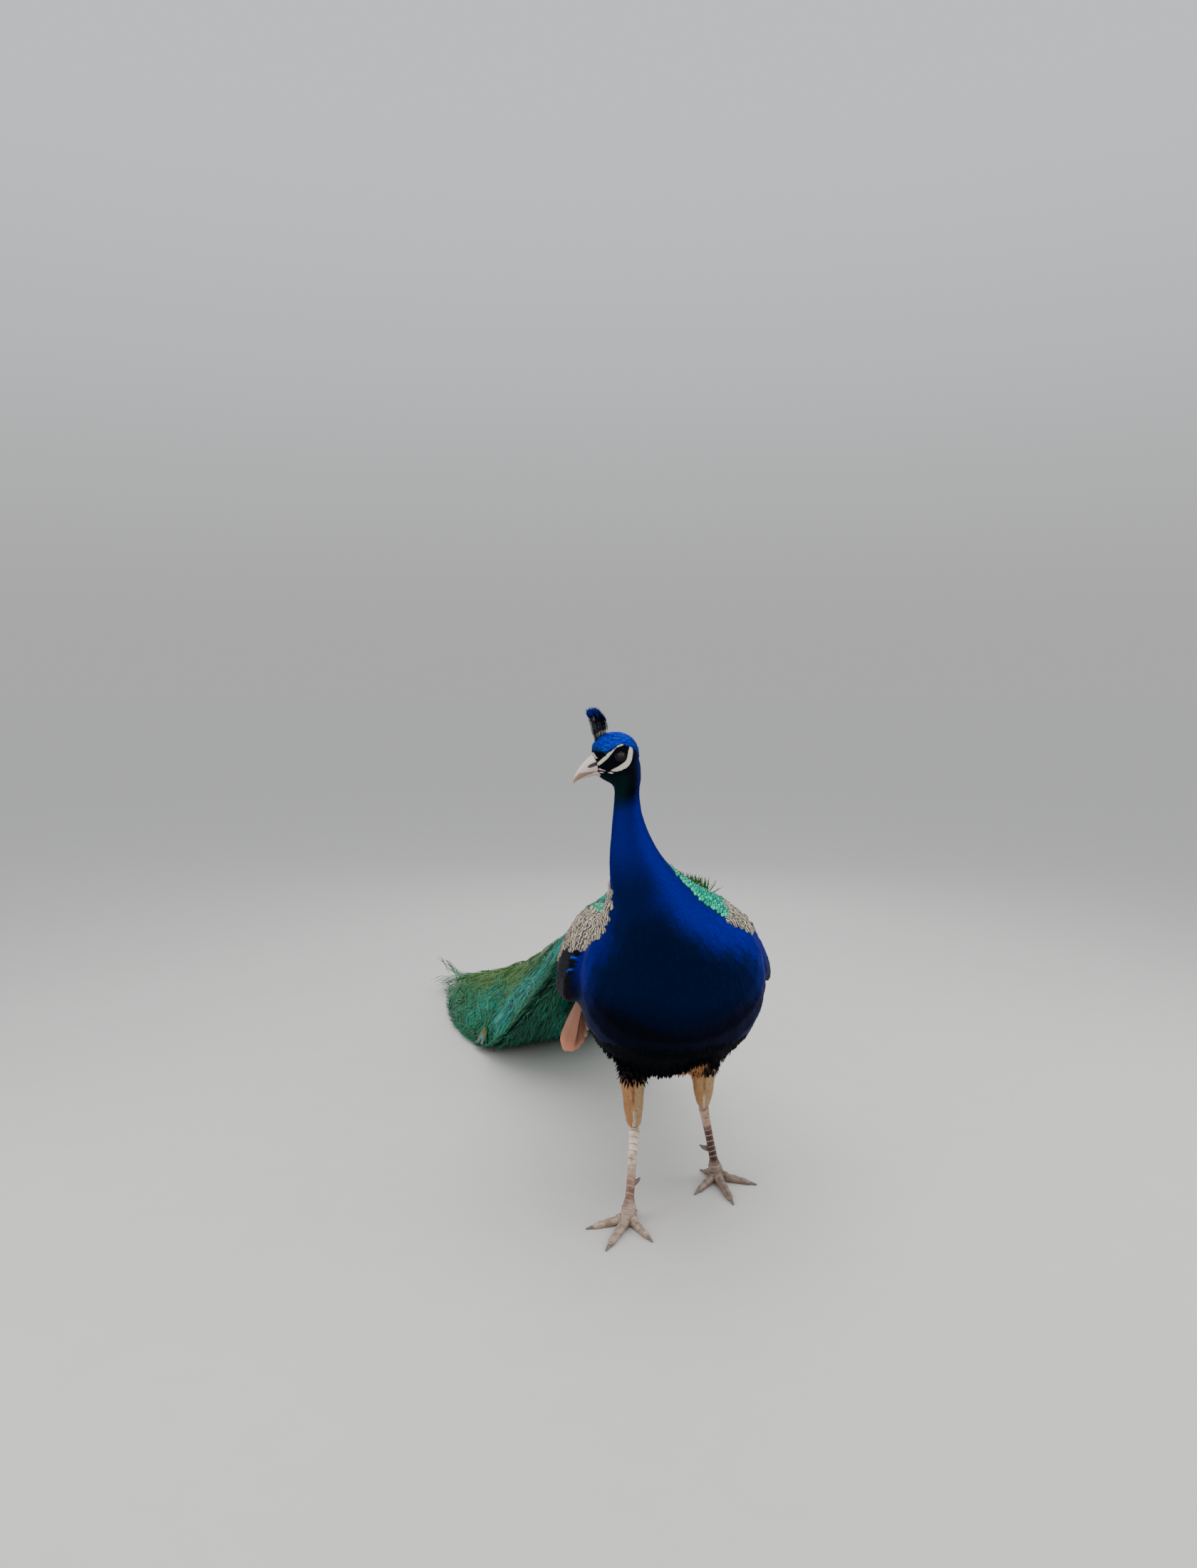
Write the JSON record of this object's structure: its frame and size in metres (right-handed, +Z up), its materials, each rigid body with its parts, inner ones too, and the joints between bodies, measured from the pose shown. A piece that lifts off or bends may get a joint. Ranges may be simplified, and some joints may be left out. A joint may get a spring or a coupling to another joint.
{
  "type": "peacock figure",
  "caption": "Life-size still model of a walking male peafowl, head turned to its right, wings folded, long eyed train trailing on the floor behind it.",
  "frame": {"origin": "middle of the whole figure's footprint, on the floor", "axes": "+Z up, the bird faces -Y and its train runs back along +Y, the bird's own left is +X"},
  "size_m": [0.5994, 1.7442, 0.9071],
  "materials": {
    "blue_plumage": "iridescent royal-blue contour feathers with a silky sheen",
    "crest_plumage": "dark bare shafts ending in blue-green vanes",
    "barred_plumage": "cream feathers barred with black, matt",
    "chestnut_plumage": "plain chestnut flight feathers, smooth and matt",
    "buff_plumage": "short buff leg feathers, soft and matt",
    "green_plumage": "metallic bronze-green loose-barbed train feathers with eyespots",
    "brown_plumage": "stiff dull brown tail feathers",
    "bill_horn": "pale pinkish horn, low gloss",
    "claw_horn": "dark worn horn",
    "leg_scales": "grey-brown horny scutes with paler edges",
    "eye_gloss": "wet dark brown eye"
  },
  "bodies": {
    "root": {"claw_left_hind": "claw_horn", "claw_left_inner": "claw_horn", "claw_left_middle": "claw_horn", "claw_left_outer": "claw_horn", "claw_right_hind": "claw_horn", "claw_right_inner": "claw_horn", "claw_right_middle": "claw_horn", "claw_right_outer": "claw_horn", "crest": "crest_plumage", "eye_left": "eye_gloss", "eye_right": "eye_gloss", "foot_left": "leg_scales", "foot_right": "leg_scales", "head": "blue_plumage", "lower_bill": "bill_horn", "neck_lower": "blue_plumage", "neck_upper": "blue_plumage", "primaries_left": "chestnut_plumage", "primaries_right": "chestnut_plumage", "spur_left": "claw_horn", "spur_right": "claw_horn", "tail": "brown_plumage", "tarsus_left": "leg_scales", "tarsus_right": "leg_scales", "thigh_left": "buff_plumage", "thigh_right": "buff_plumage", "train_end": "green_plumage", "train_middle": "green_plumage", "train_root": "green_plumage", "trunk": "blue_plumage", "upper_bill": "bill_horn", "wing_left": "barred_plumage", "wing_right": "barred_plumage"}
  },
  "joints": []
}
